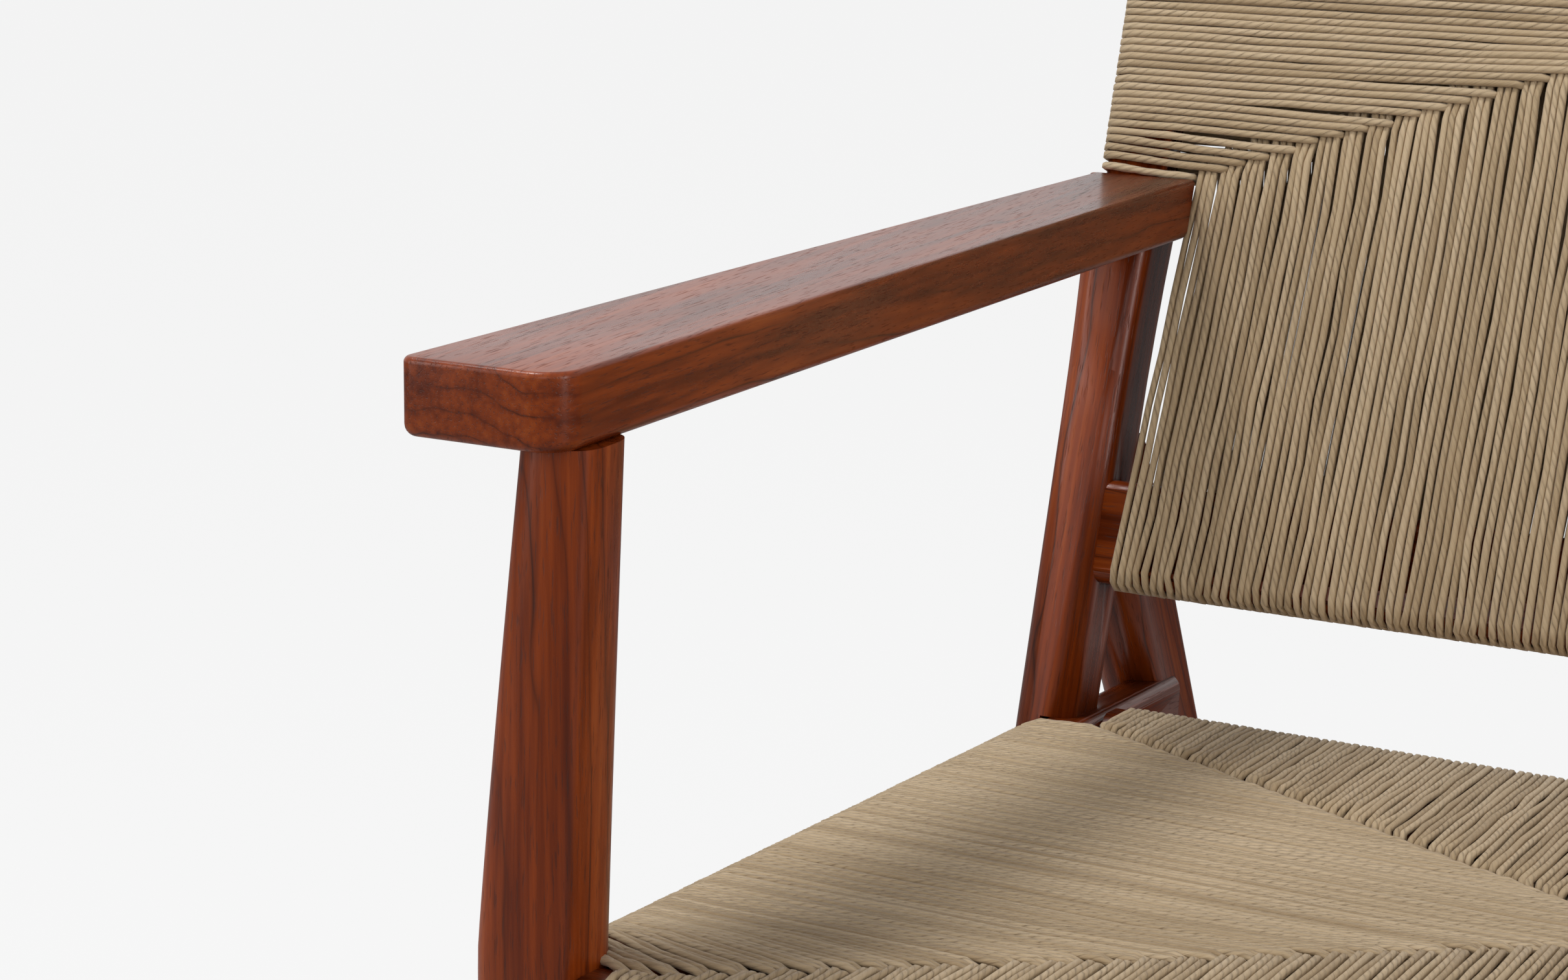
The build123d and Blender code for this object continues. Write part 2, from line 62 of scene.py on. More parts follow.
class Value:
    """One shader socket. Each arithmetic operator adds its Math node and gives the result's socket."""

    def __init__(self, nodes, socket):
        self.nodes, self.socket = nodes, socket

    def math(self, operation, first, second):
        return self.nodes.node("ShaderNodeMath", {"operation": operation}, {0: first, 1: second})

    def __add__(self, other):
        return self.math("ADD", self, other)

    def __sub__(self, other):
        return self.math("SUBTRACT", self, other)

    def __rsub__(self, other):
        return self.math("SUBTRACT", other, self)

    def __mul__(self, other):
        return self.math("MULTIPLY", self, other)

    def __pow__(self, power):
        return self.math("POWER", self, power)

    def __mod__(self, period):
        return self.math("FLOORED_MODULO", self, period)

    __radd__, __rmul__ = __add__, __mul__


class Nodes:
    """The node tree of a material or a world. node() adds any node to it."""

    def __init__(self, owner):
        owner.use_nodes = True
        self.tree = owner.node_tree

    def node(self, kind, settings={}, inputs={}, output=0):
        """Adds a node: its settings first (stops are a ramp's), then its sockets' values or links."""
        made = self.tree.nodes.new(kind)
        for key, value in settings.items():
            if key == "stops":
                for place, colour in value[1:-1]:
                    made.color_ramp.elements.new(place)
                for element, (place, colour) in zip(made.color_ramp.elements, value):
                    element.position, element.color = place, (*colour, 1.0)
            else:
                setattr(made, key, value)
        for key, value in inputs.items():
            self.feed(made.inputs[key], value)
        return Value(self, made.outputs[output])

    def feed(self, socket, value):
        """Links a Value to the socket, or sets the socket to a plain value."""
        if isinstance(value, Value):
            self.tree.links.new(value.socket, socket)
        elif socket.type == "RGBA":
            socket.default_value = (*value, 1.0)
        else:
            socket.default_value = value

    def ramp01(self, value, low, high):
        """0 up to low, 1 from high, straight between."""
        return self.node("ShaderNodeMapRange", {}, {"Value": value, "From Min": low, "From Max": high})


class Shader(Nodes):
    """A new material on one Principled shader; constants are that shader's plain values."""

    def __init__(self, name, **constants):
        self.material = bpy.data.materials.new(name)
        super().__init__(self.material)
        self.surface = self.tree.nodes["Principled BSDF"]
        for socket, value in constants.items():
            self.surface.inputs[socket.replace("_", " ")].default_value = value

    def finish(self, colour, roughness, normal):
        for name, value in (("Base Color", colour), ("Roughness", roughness), ("Normal", normal)):
            self.feed(self.surface.inputs[name], value)
        return self.material


def oiled_wood(name, along, pith, tone=1.0, ring_gap=0.0075):
    """Dark reddish hardwood whose fibres run along a direction. The object's coordinates are turned
    so that the fibres lie on X and the tree's heart on X = 0. A growth ring's number is the distance
    from the heart, bent by a slow noise, over ring_gap; a dark line is the eighth power of how near
    a place is to a whole number. Streaks and pores are finer noises drawn out along X."""
    shader = Shader(name, IOR=1.5, Specular_IOR_Level=0.28)
    place = shader.node("ShaderNodeTexCoord", output=3)
    turn = Vector(along).rotation_difference(Vector((1, 0, 0))).to_euler()
    straight = shader.node("ShaderNodeMapping", {}, {"Vector": place, "Rotation": turn, "Location": pith})

    def drawn_out(stretch, scale, detail):
        longer = shader.node("ShaderNodeMapping", {}, {"Vector": straight, "Scale": (1 / stretch, 1, 1)})
        return shader.node("ShaderNodeTexNoise", {}, {"Vector": longer, "Scale": scale, "Detail": detail})

    crosswise = shader.node("ShaderNodeVectorMath", {"operation": "MULTIPLY"}, {0: straight, 1: (0, 1, 1)})
    across = shader.node("ShaderNodeVectorMath", {"operation": "LENGTH"}, {0: crosswise}, output=1)
    bend = drawn_out(5.0, 22.0, 3.0)
    bands = drawn_out(16.0, 70.0, 3.0)
    streaks = drawn_out(38.0, 420.0, 4.0)
    pores = drawn_out(16.0, 1500.0, 1.0)
    ring = (across * (1 / ring_gap) + bend * 3.4) % 1.0
    middle = ring * (1 - ring) * 4.0
    line = (1 - middle) ** 8.0 * shader.ramp01(bands, 0.40, 0.62)
    pore = shader.ramp01(pores, 0.60, 0.70)
    body = shader.node("ShaderNodeValToRGB", {"stops": [
        (0.0, (0.034 * tone, 0.0050 * tone, 0.0012 * tone)),
        (0.36, (0.112 * tone, 0.0162 * tone, 0.0020 * tone)),
        (0.60, (0.212 * tone, 0.0345 * tone, 0.0036 * tone)),
        (1.0, (0.350 * tone, 0.0760 * tone, 0.0110 * tone)),
    ]}, {"Fac": streaks * 0.66 + bands * 0.86 + middle * 0.12 - 0.32})
    dark = shader.node("ShaderNodeMix", {"data_type": "RGBA"},
                       {0: line * 0.85, 6: body, 7: (0.017, 0.0042, 0.0022)}, output=2)
    colour = shader.node("ShaderNodeMix", {"data_type": "RGBA"},
                         {0: pore * 0.42, 6: dark, 7: (0.010, 0.004, 0.003)}, output=2)
    height = streaks * 0.5 + bands * 0.8 - pore * 0.7
    normal = shader.node("ShaderNodeBump", {}, {"Height": height, "Distance": 0.00008, "Strength": 0.7})
    return shader.finish(colour, 0.22 + bands * 0.12 + pore * 0.2, normal)


foot_z, even_low, even_high, shoulder_z, tenon_top = 0.003, 0.3117, 0.3557, 0.5245, 0.5415
leg_centre_y = cad_low.y + 0.023
leg_sides, foot_chamfer = 56, 0.0015


def leg_surface(height):
    """Centre and half sizes of the leg at each height: even at the seat rails, then every size
    moves to its value at the foot by the share of the way to the power 1.5, and to its value at
    the shoulder by that to the power 1.1."""
    up = np.clip((height - even_high) / (shoulder_z - even_high), 0, 1) ** 1.1
    down = np.clip((even_low - height) / (even_low - foot_z), 0, 1) ** 1.5
    centre_x = 0.3165 - 0.0095 * up + 0.0025 * down
    centre_y = leg_centre_y + 0.0025 * up
    half_width = 0.0190 - 0.0050 * up - 0.0055 * down
    half_depth = 0.0190 - 0.0035 * up - 0.0055 * down
    return centre_x, centre_y, half_width, half_depth


def swollen_leg(name, sign, material):
    """Rings at (centre_x + a C, centre_y + b S, z), where C and S are the cosine and sine of the
    angle with their size raised to 2/n. With n = 3 the section is a soft square, with n = 2 the
    round tenon, and the foot's last ring is drawn in for its small chamfer."""
    height = np.concatenate([[foot_z, foot_z + foot_chamfer], np.linspace(foot_z + 0.006, shoulder_z, 72),
                             [shoulder_z, tenon_top - 0.001, tenon_top]])
    centre_x, centre_y, half_width, half_depth = leg_surface(height)
    half_width[0] -= foot_chamfer
    half_depth[0] -= foot_chamfer
    half_width[-3:] = half_depth[-3:] = 0.0078, 0.0078, 0.0068
    power = np.full(len(height), 2 / 3.0)
    power[-3:] = 1.0
    angle = 2 * np.pi * np.arange(leg_sides) / leg_sides
    cosine, sine = np.cos(angle), np.sin(angle)
    ring_x = np.sign(cosine) * np.abs(cosine) ** power[:, None]
    ring_y = np.sign(sine) * np.abs(sine) ** power[:, None]
    points = np.stack([sign * (centre_x[:, None] + half_width[:, None] * ring_x),
                       centre_y[:, None] + half_depth[:, None] * ring_y,
                       np.broadcast_to(height[:, None], ring_x.shape)], axis=-1)
    row, column = np.meshgrid(np.arange(len(height) - 1), np.arange(leg_sides), indexing="ij")
    following = (column + 1) % leg_sides
    faces = np.stack([row * leg_sides + column, row * leg_sides + following,
                      (row + 1) * leg_sides + following, (row + 1) * leg_sides + column], axis=-1)
    faces = faces.reshape(-1, 4)
    rim = np.arange(leg_sides)
    caps = [rim[::-1].tolist(), ((len(height) - 1) * leg_sides + rim).tolist()]
    if sign < 0:
        faces, caps = faces[:, ::-1], [cap[::-1] for cap in caps]
    mesh = bpy.data.meshes.new(name)
    mesh.from_pydata(points.reshape(-1, 3), [], faces.tolist() + caps)
    mesh.shade_smooth()
    mesh.set_sharp_from_angle(angle=math.radians(40))
    mesh.materials.append(material)
    piece = bpy.data.objects.new(name, mesh)
    bpy.context.scene.collection.objects.link(piece)
    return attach(piece, "root")


for side, sign in (("left", 1), ("right", -1)):
    leg_wood = oiled_wood("front_leg_" + side + "_oiled", (0.02 * sign, 0.01, 1),
                          (0, 0.34 * sign - 0.03, 0.42), tone=1.2)
    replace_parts(swollen_leg("front_leg_" + side + "_wood", sign, leg_wood), "front_leg_" + side)

# ---------------------------------------------------------------- rear legs
# Two straight legs sawn from hardwood, raked back from the posts to the floor. Each is cut to
# the slope of its post and glued and dowelled to the post's rear face.
def finished_copy(node, material):
    """The CAD piece's own surface with its loose triangles welded, so that the rounded edges shade
    smoothly. Edges that turn more than 32 degrees stay sharp."""
    body = bmesh.new()
    body.from_mesh(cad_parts[node].data)
    bmesh.ops.remove_doubles(body, verts=body.verts, dist=1e-6)
    bmesh.ops.dissolve_degenerate(body, edges=body.edges, dist=1e-7)
    mesh = bpy.data.meshes.new(node + "_wood")
    body.to_mesh(mesh)
    body.free()
    mesh.set_sharp_from_angle(angle=math.radians(32))
    mesh.materials.clear()
    mesh.materials.append(material)
    piece = bpy.data.objects.new(node + "_wood", mesh)
    bpy.context.scene.collection.objects.link(piece)
    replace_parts(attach(piece, "root"), node)


for side, sign in (("left", 1), ("right", -1)):
    finished_copy("rear_leg_" + side, oiled_wood(
        "rear_leg_" + side + "_oiled", (0.01, 0.51, -0.86), (0, 0.33 * sign, 0.10)))

# ---------------------------------------------------------------- back posts
# Two leaning hardwood posts that flare up to the armrests and carry the cord above them on a
# slimmer stretch. The two rails of the back are tenoned into them.
for side, sign in (("left", 1), ("right", -1)):
    finished_copy("back_post_" + side, oiled_wood(
        "back_post_" + side + "_oiled", (0.015, 0.297, 0.955), (0, 0.30 * sign, 0.05)))

# ---------------------------------------------------------------- armrests
# Two flat tapered hardwood boards, mitred to the lean of the posts. Each is held by two dowels
# in its post and by the round tenon of its front leg.
for side, sign in (("left", 1), ("right", -1)):
    finished_copy("armrest_" + side, oiled_wood(
        "armrest_" + side + "_oiled", (0.05 * sign, 1, 0.012), (0, 0.35 * sign, -0.44),
        tone=1.12, ring_gap=0.0085))

# ---------------------------------------------------------------- seat and back rails
# Six straight hardwood rails, tenoned into the frame, that the cord is wound on. They are
# mostly hidden in it; their bare ends show at the legs and posts.
for node, along in (("seat_side_rail_left", (0, 1, -0.08)), ("seat_side_rail_right", (0, 1, -0.08)),
                    ("seat_front_rail", (1, 0, 0)), ("seat_rear_rail", (1, 0, 0)),
                    ("back_top_rail", (1, 0, 0)), ("back_bottom_rail", (1, 0, 0))):
    finished_copy(node, oiled_wood(node + "_oiled", along, (0, 0.05, -0.29), tone=0.8))

# ---------------------------------------------------------------- dowels
# Plain turned beech pins, glued across the joints at the armrests, the rear legs and the feet
# of the posts. They are seen only when the chair is taken apart.
def grained(name, scale, detail, dark, light, roughness, spread, relief, **constants):
    """One fine noise goes from the dark to the light colour, adds up to spread to the roughness and
    raises the surface by relief."""
    shader = Shader(name, **constants)
    place = shader.node("ShaderNodeTexCoord", output=3)
    grain = shader.node("ShaderNodeTexNoise", {}, {"Vector": place, "Scale": scale, "Detail": detail})
    colour = shader.node("ShaderNodeMix", {"data_type": "RGBA"}, {0: grain, 6: dark, 7: light}, output=2)
    bump = shader.node("ShaderNodeBump", {}, {"Height": grain, "Distance": relief})
    return shader.finish(colour, roughness + grain * spread, bump)


def wear(node, material):
    """Gives the CAD piece itself its material."""
    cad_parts[node].data.materials.clear()
    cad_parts[node].data.materials.append(material)


beech = grained("turned_beech", 900.0, 3.0, (0.42, 0.27, 0.14), (0.60, 0.42, 0.25), 0.5, 0.15, 0.00005)
for node in ("armrest_dowels", "rear_leg_dowels", "post_foot_dowels"):
    wear(node, beech)

# ---------------------------------------------------------------- foot glides
# Dark nylon discs, one under each foot. Each is moulded in one with the pin that is pressed
# into the wood.
wear("foot_glides", grained("moulded_nylon", 1400.0, 2.0, (0.020, 0.015, 0.012),
                            (0.045, 0.035, 0.028), 0.5, 0.2, 0.00008))

# ---------------------------------------------------------------- cord tacks
# Six blued steel tacks, driven into hidden faces of the rails. They hold the first and the
# last run of cord.
wear("cord_tacks", grained("blued_steel", 700.0, 2.0, (0.10, 0.11, 0.14),
                           (0.22, 0.23, 0.26), 0.3, 0.2, 0.00003, Metallic=1.0))

# ---------------------------------------------------------------- woven seat
# One long paper cord, twisted from three plies and wound over the four rails in an envelope weave.
# Strands from the front and rear rails lie over the ends of those from the side rails, so four
# triangles meet along stepped diagonals. The lower layer repeats the upper one.
cord_radius = 0.00168
seat_origin = np.array([0.0, cad_low.y + 0.021, 0.355])
seat_slope = math.radians(4.6)
seat_axes = np.array([[1, 0, 0], [0, math.cos(seat_slope), -math.sin(seat_slope)],
                      [0, math.sin(seat_slope), math.cos(seat_slope)]])
seat_rng = np.random.default_rng(11)
upper_places, lower_places = np.arange(1, 7) / 7, np.array([0.3, 0.75])
tip_rings = 3
# Unpulled, the cord of the layer behind is a little fatter and narrows the gaps.
rings_behind = len(lower_places) + tip_rings
fatter_behind = np.concatenate([np.ones(len(upper_places) + tip_rings + 6), np.full(rings_behind, 1.09)])


def strand_loops(reach, depth, corner, over, rng):
    """Each strand's loop in its own plane, as distance in from the rail's outer face and height.
    From the diagonal it runs out along the upper face, round the rail on two quarter circles of
    the corner radius, and back underneath. An end that lies over others turns down in its last
    3 mm; one that passes below them sinks a cord's thickness over its last 9 mm."""
    if over:
        tip_in, tip_down = np.array([0.0010, 0.0004, -0.0022]), np.array([-0.0046, -0.0013, 0.0])
    else:
        tip_in, tip_down = np.array([0.0085, 0.0000, -0.0085]), np.array([-0.0036, -0.0027, 0.0])
    count = len(reach)
    turn = np.radians([0.0, 45.0, 90.0])
    arc_in, arc_down = corner * (1 - np.sin(turn)), -corner * (1 - np.cos(turn))
    tip = reach[:, None] + tip_in
    run = tip[:, -1:] + (corner - tip[:, -1:]) * upper_places
    back = corner + (tip[:, -1:] - corner) * lower_places
    inward = np.hstack([tip, run, np.tile(arc_in, (count, 1)), np.tile(arc_in[::-1], (count, 1)),
                        back, tip[:, ::-1]])
    lift = rng.normal(0, 0.00016, (count, 1)) + rng.normal(0, 0.00014, (count, len(upper_places)))
    upper = np.hstack([np.tile(tip_down, (count, 1)) + rng.normal(0, 0.00018, (count, 1)), lift])
    slack = rng.normal(0, 0.0002, (count, len(lower_places)))
    lower = np.hstack([np.tile(-depth - arc_down[::-1], (count, 1)), -depth - slack,
                       np.tile(-depth - tip_down[::-1], (count, 1))])
    return inward, np.hstack([upper, np.tile(arc_down, (count, 1)), lower])


def sway(shape, rng, size):
    """Small sideways wander of each ring, half of it shared with the next strand."""
    own = rng.normal(0, size, shape)
    return (own + np.roll(own, 1, axis=0)) * 0.7


def cord_tubes(name, paths, lateral, rng, swell):
    """A tube round each path. T is the path's central difference, B the lateral direction made
    square to T, N = B x T, and a ring's points are path + r (cos a N + sin a B), r varying a
    little from ring to ring and times swell. The UV map is the length along the strand in metres
    and the share of a turn; tone is one number a strand."""
    sides, unevenness, flatness = 6, 0.048, 0.92
    count, rings, _ = paths.shape
    tangent = np.gradient(paths, axis=1)
    tangent /= np.linalg.norm(tangent, axis=2, keepdims=True)
    lateral = np.broadcast_to(lateral, paths.shape)
    across = lateral - (lateral * tangent).sum(2, keepdims=True) * tangent
    across /= np.linalg.norm(across, axis=2, keepdims=True)
    outward = np.cross(across, tangent)
    angle = 2 * np.pi * (np.arange(sides) + 0.5) / sides
    uneven = 1 + rng.normal(0, unevenness, (count, rings, 1, 1))
    radius = cord_radius * uneven * np.reshape(swell, (-1, 1, 1))
    ring = radius * (np.cos(angle)[:, None] * outward[:, :, None] * flatness
                     + np.sin(angle)[:, None] * across[:, :, None])
    points = (paths[:, :, None] + ring).reshape(count, -1, 3)
    poles = paths[:, [0, -1]] - tangent[:, [0, -1]] * cord_radius * np.array([0.6, -0.6])[:, None]
    points = np.concatenate([points, poles], axis=1)
    step = points.shape[1]
    start = np.arange(count)[:, None, None] * step
    row, column = np.meshgrid(np.arange(rings - 1), np.arange(sides), indexing="ij")
    following = (column + 1) % sides
    quads = np.stack([row * sides + column, row * sides + following,
                      (row + 1) * sides + following, (row + 1) * sides + column], axis=-1)
    quads = quads.reshape(-1, 4)
    spoke = np.arange(sides)
    last = (rings - 1) * sides
    fans = np.concatenate([
        np.stack([np.full(sides, rings * sides), (spoke + 1) % sides, spoke], axis=1),
        np.stack([np.full(sides, rings * sides + 1), last + spoke, last + (spoke + 1) % sides], axis=1)])
    length = np.concatenate([np.zeros((count, 1)),
                             np.cumsum(np.linalg.norm(np.diff(paths, axis=1), axis=2), axis=1)], axis=1)
    length += rng.uniform(0, 1, (count, 1))
    flat = np.stack([row, row, row + 1, row + 1], axis=-1).reshape(-1, 4)
    quad_uv = np.stack([length[:, flat], np.broadcast_to(
        np.stack([column, column + 1, column + 1, column], axis=-1).reshape(-1, 4) / sides,
        (count, len(quads), 4))], axis=-1)
    fan_row = np.repeat([0, rings - 1], sides)
    fan_uv = np.stack([np.repeat(length[:, fan_row, None], 3, axis=2), np.broadcast_to(
        np.tile(spoke, 2)[:, None] / sides, (count, 2 * sides, 3))], axis=-1)
    faces = (start + quads).reshape(-1, 4).tolist() + (start + fans).reshape(-1, 3).tolist()
    mesh = bpy.data.meshes.new(name)
    mesh.from_pydata(points.reshape(-1, 3), [], faces)
    mesh.uv_layers.new(name="cord").data.foreach_set(
        "uv", np.concatenate([quad_uv.ravel(), fan_uv.ravel()]).astype(np.float32))
    tones = np.repeat(rng.uniform(0, 1, count), step).astype(np.float32)
    mesh.attributes.new("tone", "FLOAT", "POINT").data.foreach_set("value", tones)
    mesh.shade_smooth()
    mesh.materials.append(paper_cord)
    piece = bpy.data.objects.new(name, mesh)
    bpy.context.scene.collection.objects.link(piece)
    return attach(piece, "root")


def twisted_paper():
    """Three plies with a lay of 17 mm: t = three turns of (v + u / lay), pushed about by a noise
    and wrapped to 0..1; a ply's height is the root of 4 t (1 - t), with a groove where it is low.
    The colour is darkened in these grooves as painted shade. Fibres and small wrinkles are a finer
    noise drawn out along the plies."""
    lay = 0.017
    shader = Shader("paper_cord", Sheen_Weight=0.15, Sheen_Roughness=0.5, IOR=1.4)
    uv = shader.node("ShaderNodeUVMap", {"uv_map": "cord"})
    along = shader.node("ShaderNodeSeparateXYZ", {}, {0: uv})
    around = shader.node("ShaderNodeSeparateXYZ", {}, {0: uv}, output=1)
    tone = shader.node("ShaderNodeAttribute", {"attribute_name": "tone"}, output=2)
    twist = around + along * (1 / lay)
    fibre_place = shader.node("ShaderNodeCombineXYZ", {}, {0: along * 75.0, 1: twist * 17.0, 2: tone * 40.0})
    fibres = shader.node("ShaderNodeTexNoise", {}, {"Vector": fibre_place, "Scale": 1.0, "Detail": 4.0})
    patch_place = shader.node("ShaderNodeCombineXYZ", {}, {0: along * 34.0, 1: tone * 60.0})
    patches = shader.node("ShaderNodeTexNoise", {}, {"Vector": patch_place, "Scale": 1.0, "Detail": 3.0})
    wrapped = (twist * 3.0 + patches * 2.2 + fibres * 0.5) % 1.0
    ply = (wrapped * (1 - wrapped) * 4.0) ** 0.5
    depth = shader.ramp01(patches, 0.30, 0.62)
    # Painted shade: how much the colour is darkened in the grooves between plies, more where the patch noise
    # is high.
    ply_groove_shade = (1 - ply) * depth
    shade = fibres * 0.60 + patches * 0.58 + tone * 0.44 - 0.36
    body = shader.node("ShaderNodeValToRGB", {"stops": [
        (0.0, (0.300, 0.205, 0.108)), (0.42, (0.470, 0.350, 0.212)), (0.75, (0.570, 0.440, 0.285)),
        (1.0, (0.660, 0.530, 0.370))]}, {"Fac": shade})
    # Painted shade: mixes the cord's colour towards dark brown in the ply grooves.
    colour = shader.node("ShaderNodeMix", {"data_type": "RGBA"},
                         {0: ply_groove_shade * 0.62, 6: body, 7: (0.165, 0.105, 0.052)}, output=2)
    height = ply * depth + fibres * 0.55
    normal = shader.node("ShaderNodeBump", {}, {"Height": height, "Distance": 0.00040, "Strength": 0.8})
    return shader.finish(colour, 0.74 + fibres * 0.14, normal)


paper_cord = twisted_paper()


def eased(value):
    """Smooth step from 0 to 1: 3 v^2 - 2 v^3."""
    value = np.clip(value, 0, 1)
    return value * value * (3 - 2 * value)


def drift(inward, rail_across, end_across, bend, power=1.0):
    """Where a strand is across its run: it moves from its place on the rail to its place at the
    diagonal, eased, over the last stretch, bend long. A power under 1 moves it sooner."""
    share = eased(1 - (inward.max(axis=1, keepdims=True) - inward) / bend) ** power
    return rail_across[:, None] + (end_across - rail_across)[:, None] * share


def place_strands(along, across, height, vertical, axes, origin):
    """Puts loops into the weave's plane; vertical swaps the plane's two axes."""
    first, second = (across, along) if vertical else (along, across)
    local = np.stack([first, second, height - cord_radius + 0.00015], axis=-1)
    return local @ axes + origin


def steps_of(total, smallest, largest, rng):
    """Which step of the diagonal each strand belongs to. The weaver's hands push the strands
    together in twos and threes, so a step's size is random between smallest and largest."""
    starts = np.cumsum(np.concatenate([[0], rng.integers(smallest, largest + 1, total)]))
    return np.searchsorted(starts, np.arange(total), side="right") - 1


def step_places(steps):
    """Each strand's step centre, counted in strands, and its own place from that centre."""
    index = np.arange(len(steps))
    centre = (np.bincount(steps, index) / np.bincount(steps))[steps]
    return centre, index - centre


seat_depth_between = 0.0396
seat_corner = 0.0088
seat_front_outer, seat_rear_outer = -0.0138, 0.4642
seat_side_outer = 0.3203
front_strands, rear_side_strands = 84, 56
side_edge = 0.2877
strand_pitch = side_edge / front_strands
rear_step = front_strands / rear_side_strands   # rail strands for each side strand, at the rear
# How far in the stepped diagonals lie, from the front and from the rear: edge + slope times the
# distance from the first strand.
front_edge, front_slope = -0.0085, 0.899
rear_edge, rear_slope = 0.4215, 0.585
front_steps = steps_of(front_strands, 2, 3, seat_rng)
rear_steps = steps_of(rear_side_strands, 2, 2, seat_rng)

for name, outer, direction, edge, slope in (
        ("woven_seat_front_cord", seat_front_outer, 1, front_edge, front_slope),
        ("woven_seat_rear_cord", seat_rear_outer, -1, rear_edge, -rear_slope)):
    steps = front_steps if direction == 1 else steps_of(front_strands, 3, 3, seat_rng)
    centre, beside = step_places(steps)
    tip = edge + slope * strand_pitch * (centre + 1.3)
    if direction == 1:
        tip = np.maximum(tip, 0.0045)
    inside = (tip - outer) * direction + 0.0004 * beside - 0.0007 * beside ** 2
    reach = np.concatenate([inside, inside]) + seat_rng.normal(0, 0.0005, 2 * front_strands)
    x = side_edge - strand_pitch * (np.arange(front_strands) + 0.5)
    x = np.concatenate([x, -x]) + seat_rng.normal(0, 0.00022, 2 * front_strands)
    inward, height = strand_loops(reach, seat_depth_between, seat_corner, True, seat_rng)
    pinch = np.concatenate([beside, -beside]) * 0.0004
    wander = 0.00016 if direction == 1 else 0.00034
    across = drift(inward, x, x + pinch, 0.020) + sway(inward.shape, seat_rng, wander)
    paths = place_strands(outer + direction * inward, across, height, True, seat_axes, seat_origin)
    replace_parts(cord_tubes(name, paths, seat_axes[0], seat_rng, swell=fatter_behind), "woven_seat")

# Where the side strands lie on the rail: crowded beside the front leg and the back's post.
rail_y = np.interp(np.arange(front_strands + rear_side_strands), [0, 12, 30, 50, 84, 122, 139],
                   [0.0245, 0.042, 0.084, 0.138, 0.249, 0.3645, 0.4045])
for name, sign in (("woven_seat_left_cord", 1), ("woven_seat_right_cord", -1)):
    front_centre, front_beside = step_places(front_steps)
    rear_centre, rear_beside = step_places(rear_steps)
    tightness = seat_rng.uniform(0.0017, 0.0030, front_steps[-1] + 1)[front_steps]
    front_line = front_edge + front_slope * strand_pitch * (np.arange(front_strands) - 0.1)
    front_bunch = front_edge + front_slope * strand_pitch * (front_centre - 0.1) + front_beside * tightness
    rear_line = rear_edge - rear_slope * strand_pitch * rear_step * (np.arange(rear_side_strands) + 2.0)
    rear_bunch = rear_line + rear_beside * 0.0003
    line = np.maximum(np.concatenate([front_line, rear_line[::-1]]), 0.0015 + 0.0013 * np.arange(len(rail_y)))
    bunch = np.concatenate([front_bunch - front_line, (rear_bunch - rear_line)[::-1]])
    hook = np.concatenate([np.full(front_strands, -0.0022), np.full(rear_side_strands, 0.0012)])
    inner = np.concatenate([front_centre + 0.5, (rear_centre[::-1] + 0.5) * rear_step])
    x_end = side_edge - strand_pitch * inner - 0.001
    reach = seat_side_outer - x_end + seat_rng.normal(0, 0.0004, len(line))
    inward, height = strand_loops(reach, seat_depth_between, seat_corner, False, seat_rng)
    start = rail_y + seat_rng.normal(0, 0.0002, len(rail_y))
    across = (drift(inward, start, line - hook, 0.060, 0.5) + drift(inward, 0 * bunch, bunch, 0.034)
              + drift(inward, 0 * hook, hook, 0.022) + sway(inward.shape, seat_rng, 0.00018))
    paths = place_strands(sign * (seat_side_outer - inward), across, height, False, seat_axes, seat_origin)
    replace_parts(cord_tubes(name, paths, seat_axes[1], seat_rng, swell=fatter_behind * 0.92), "woven_seat")

# ---------------------------------------------------------------- woven back
# The same cord on the back. Single strands round the posts lie over the ends of the upright
# ones, three to a step, which go round the top and bottom rails in two loose layers.
back_origin = np.array([0.0, 0.133, 0.550])
back_lean = math.radians(17.3)
back_axes = np.array([[1, 0, 0], [0, math.sin(back_lean), math.cos(back_lean)],
                      [0, -math.cos(back_lean), math.sin(back_lean)]])
back_rng = np.random.default_rng(23)
back_depth_between, back_corner = 0.0276, 0.0078
post_outer, back_top, back_bottom = 0.3308, 0.1820, -0.1825
back_steps = 27
back_edge, upright_pitch = 0.2850, 0.003517
post_pitch = 0.00337
flare = 0.237   # how much the panel widens below the armrests, per metre

row_count, lowest_row, highest_row = 52, 0.0064, 0.1792
# The rows fan out a little: how far each one's end lies below its place on the post.
row_drop = np.interp(np.arange(back_steps), (0, 9, 15, 25), (0.0045, 0.0003, -0.0019, 0.0))

for name, sign in (("woven_back_left_post_cord", 1), ("woven_back_right_post_cord", -1)):
    level = np.arange(row_count)
    step = np.minimum(level, row_count - 1 - level)
    post_y = np.linspace(lowest_row, highest_row, row_count)
    bow = np.where(level < row_count / 2, -1, 1) * back_rng.normal(row_drop[step], 0.0004)
    reach = post_outer - (back_edge - 3 * upright_pitch * step) + back_rng.normal(0, 0.0009, row_count)
    inward, height = strand_loops(reach, back_depth_between, back_corner, True, back_rng)
    across = drift(inward, post_y, post_y + bow, 0.085) + sway(inward.shape, back_rng, 0.00016)
    across[:, -rings_behind:] = (post_y + bow / 2)[:, None]
    paths = place_strands(sign * (post_outer - inward), across, height, False, back_axes, back_origin)
    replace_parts(cord_tubes(name, paths, back_axes[1], back_rng, swell=fatter_behind), "woven_back")

